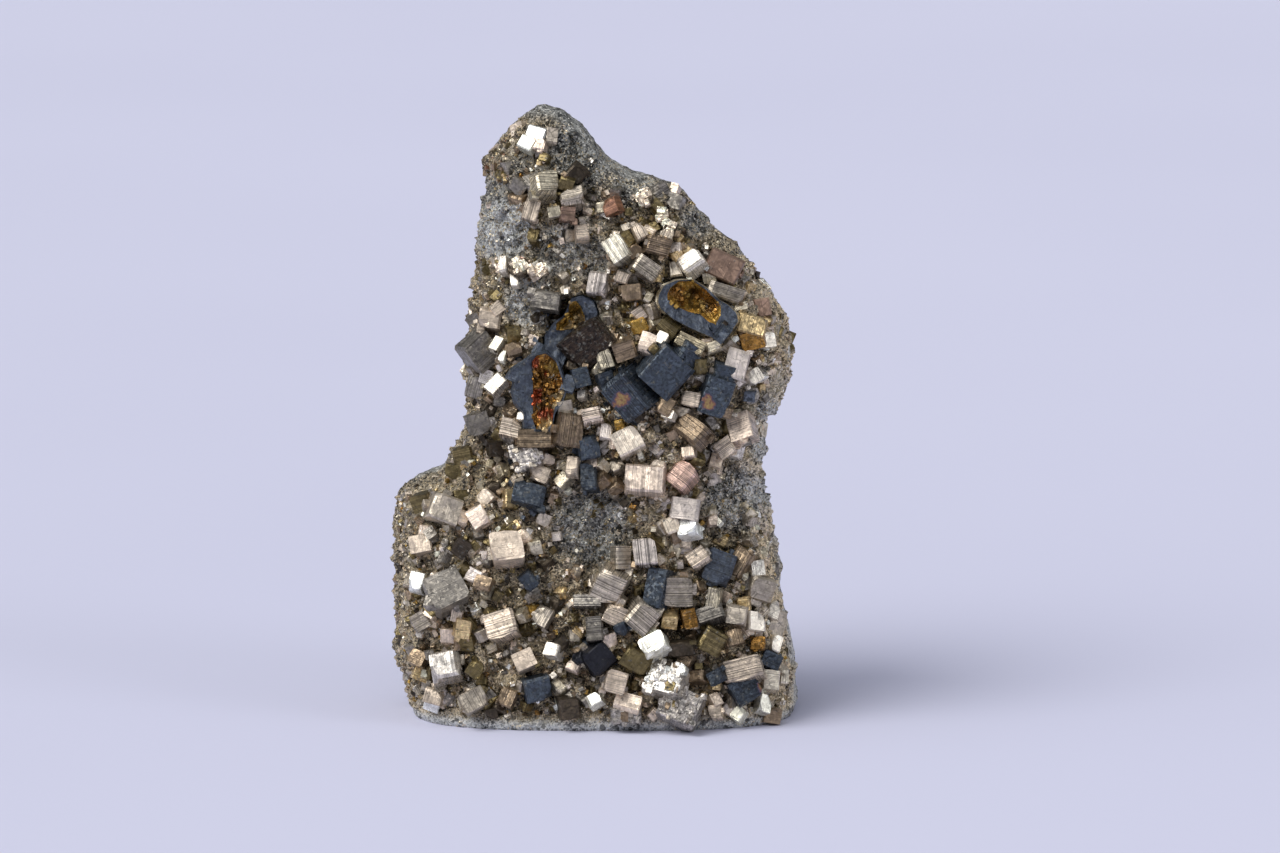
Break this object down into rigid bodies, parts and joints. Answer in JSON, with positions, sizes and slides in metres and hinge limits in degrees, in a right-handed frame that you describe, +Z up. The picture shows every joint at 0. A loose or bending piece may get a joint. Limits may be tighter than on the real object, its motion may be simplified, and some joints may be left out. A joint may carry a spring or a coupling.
{
  "type": "pyrite freeform",
  "caption": "Upright freeform of pyrite rock: its front a druse of striated cubic crystals, some tarnished and hollow, the rest ground smooth, sawn flat to stand.",
  "frame": {"origin": "middle of the sawn base, at the bottom centre of the stone's box", "axes": "+Z up along the stone's height, -Y towards the viewer of the crystal face, +X to that viewer's right"},
  "size_m": [0.0322, 0.0216, 0.0489],
  "materials": {
    "pyrite": "natural metallic crystals on granular grey-green rock, ground satin behind"
  },
  "bodies": {
    "root": {"pyrite_freeform": "pyrite"}
  },
  "joints": []
}
